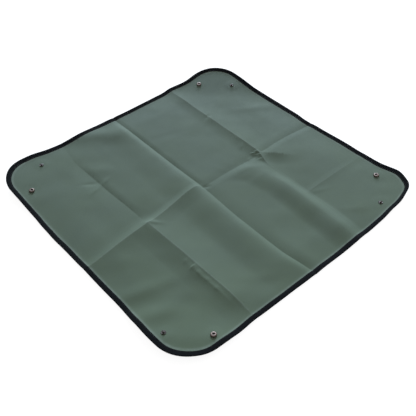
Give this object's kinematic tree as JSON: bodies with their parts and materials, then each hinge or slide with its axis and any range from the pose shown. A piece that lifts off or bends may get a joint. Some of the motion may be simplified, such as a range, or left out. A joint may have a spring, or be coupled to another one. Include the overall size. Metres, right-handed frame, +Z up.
{
  "type": "repotting mat",
  "caption": "Square coated-cloth work mat with a bound edge and rounded corners; its sides fold up and each corner's snap closes it into a shallow tray.",
  "frame": {"origin": "on the ground, under the middle of the mat", "axes": "+Z up; the mat's straight edges lie along X and Y, and the corner nearest to the picture's camera is the one at -X and -Y"},
  "size_m": [0.68, 0.68, 0.0157],
  "materials": {
    "coated_sheet": "grey-green woven cloth with a waterproof coating, soft sheen",
    "binding_tape": "matt black woven tape",
    "snap_metal": "antique copper plating, worn satin",
    "spring_steel": "plain wire"
  },
  "bodies": {
    "base": {"base_sheet": "coated_sheet"},
    "right_wall": {"right_wall_sheet": "coated_sheet", "right_wall_binding": "binding_tape"},
    "back_right_stud_ear": {"back_right_stud_ear": "coated_sheet", "back_right_stud_ear_binding": "binding_tape", "back_right_stud": "snap_metal", "back_right_stud_eyelet": "snap_metal"},
    "back_right_socket_ear": {"back_right_socket_ear": "coated_sheet", "back_right_socket_ear_binding": "binding_tape", "back_right_socket": "snap_metal", "back_right_socket_cap": "snap_metal", "back_right_socket_spring": "spring_steel"},
    "front_wall": {"front_wall_sheet": "coated_sheet", "front_wall_binding": "binding_tape"},
    "front_right_stud_ear": {"front_right_stud_ear": "coated_sheet", "front_right_stud_ear_binding": "binding_tape", "front_right_stud": "snap_metal", "front_right_stud_eyelet": "snap_metal"},
    "front_right_socket_ear": {"front_right_socket_ear": "coated_sheet", "front_right_socket_ear_binding": "binding_tape", "front_right_socket": "snap_metal", "front_right_socket_cap": "snap_metal", "front_right_socket_spring": "spring_steel"},
    "left_wall": {"left_wall_sheet": "coated_sheet", "left_wall_binding": "binding_tape"},
    "front_left_stud_ear": {"front_left_stud_ear": "coated_sheet", "front_left_stud_ear_binding": "binding_tape", "front_left_stud": "snap_metal", "front_left_stud_eyelet": "snap_metal"},
    "front_left_socket_ear": {"front_left_socket_ear": "coated_sheet", "front_left_socket_ear_binding": "binding_tape", "front_left_socket": "snap_metal", "front_left_socket_cap": "snap_metal", "front_left_socket_spring": "spring_steel"},
    "back_wall": {"back_wall_sheet": "coated_sheet", "back_wall_binding": "binding_tape"},
    "back_left_stud_ear": {"back_left_stud_ear": "coated_sheet", "back_left_stud_ear_binding": "binding_tape", "back_left_stud": "snap_metal", "back_left_stud_eyelet": "snap_metal"},
    "back_left_socket_ear": {"back_left_socket_ear": "coated_sheet", "back_left_socket_ear_binding": "binding_tape", "back_left_socket": "snap_metal", "back_left_socket_cap": "snap_metal", "back_left_socket_spring": "spring_steel"}
  },
  "joints": [
    {"name": "right_wall_fold", "type": "hinge", "parent": "base", "child": "right_wall", "pos_m": [0.229, 0, 0.0033], "axis": [0, -1, 0], "range_deg": [0, 85.1]},
    {"name": "back_right_stud_ear_fold", "type": "hinge", "parent": "right_wall", "child": "back_right_stud_ear", "pos_m": [0.22906, 0.22781, -0.0007], "axis": [-0.9968, 0, -0.0802], "range_deg": [0, 49.41]},
    {"name": "back_right_crease", "type": "hinge", "parent": "back_right_stud_ear", "child": "back_right_socket_ear", "pos_m": [0.22876, 0.22876, 0.00308], "axis": [0.7026, 0.7026, 0.1131], "range_deg": [0, 179.3]},
    {"name": "front_wall_fold", "type": "hinge", "parent": "base", "child": "front_wall", "pos_m": [0, -0.229, 0.0033], "axis": [-1, 0, 0], "range_deg": [0, 85.1]},
    {"name": "front_right_stud_ear_fold", "type": "hinge", "parent": "front_wall", "child": "front_right_stud_ear", "pos_m": [0.22781, -0.22906, -0.0007], "axis": [0, 0.9968, -0.0802], "range_deg": [0, 49.41]},
    {"name": "front_right_crease", "type": "hinge", "parent": "front_right_stud_ear", "child": "front_right_socket_ear", "pos_m": [0.22876, -0.22876, 0.00308], "axis": [0.7026, -0.7026, 0.1131], "range_deg": [0, 179.3]},
    {"name": "left_wall_fold", "type": "hinge", "parent": "base", "child": "left_wall", "pos_m": [-0.229, 0, 0.0033], "axis": [0, 1, 0], "range_deg": [0, 85.1]},
    {"name": "front_left_stud_ear_fold", "type": "hinge", "parent": "left_wall", "child": "front_left_stud_ear", "pos_m": [-0.22906, -0.22781, -0.0007], "axis": [0.9968, 0, -0.0802], "range_deg": [0, 49.41]},
    {"name": "front_left_crease", "type": "hinge", "parent": "front_left_stud_ear", "child": "front_left_socket_ear", "pos_m": [-0.22876, -0.22876, 0.00308], "axis": [-0.7026, -0.7026, 0.1131], "range_deg": [0, 179.3]},
    {"name": "back_wall_fold", "type": "hinge", "parent": "base", "child": "back_wall", "pos_m": [0, 0.229, 0.0033], "axis": [1, 0, 0], "range_deg": [0, 85.1]},
    {"name": "back_left_stud_ear_fold", "type": "hinge", "parent": "back_wall", "child": "back_left_stud_ear", "pos_m": [-0.22781, 0.22906, -0.0007], "axis": [0, -0.9968, -0.0802], "range_deg": [0, 49.41]},
    {"name": "back_left_crease", "type": "hinge", "parent": "back_left_stud_ear", "child": "back_left_socket_ear", "pos_m": [-0.22876, 0.22876, 0.00308], "axis": [-0.7026, 0.7026, 0.1131], "range_deg": [0, 179.3]}
  ],
  "couplings": [
    {"joint": "back_right_stud_ear_fold", "follows": "right_wall_fold", "ratio": 0.5806},
    {"joint": "back_right_crease", "follows": "right_wall_fold", "ratio": 2.1065},
    {"joint": "front_wall_fold", "follows": "right_wall_fold", "ratio": 1},
    {"joint": "front_right_stud_ear_fold", "follows": "right_wall_fold", "ratio": 0.5806},
    {"joint": "front_right_crease", "follows": "right_wall_fold", "ratio": 2.1065},
    {"joint": "left_wall_fold", "follows": "right_wall_fold", "ratio": 1},
    {"joint": "front_left_stud_ear_fold", "follows": "right_wall_fold", "ratio": 0.5806},
    {"joint": "front_left_crease", "follows": "right_wall_fold", "ratio": 2.1065},
    {"joint": "back_wall_fold", "follows": "right_wall_fold", "ratio": 1},
    {"joint": "back_left_stud_ear_fold", "follows": "right_wall_fold", "ratio": 0.5806},
    {"joint": "back_left_crease", "follows": "right_wall_fold", "ratio": 2.1065}
  ]
}
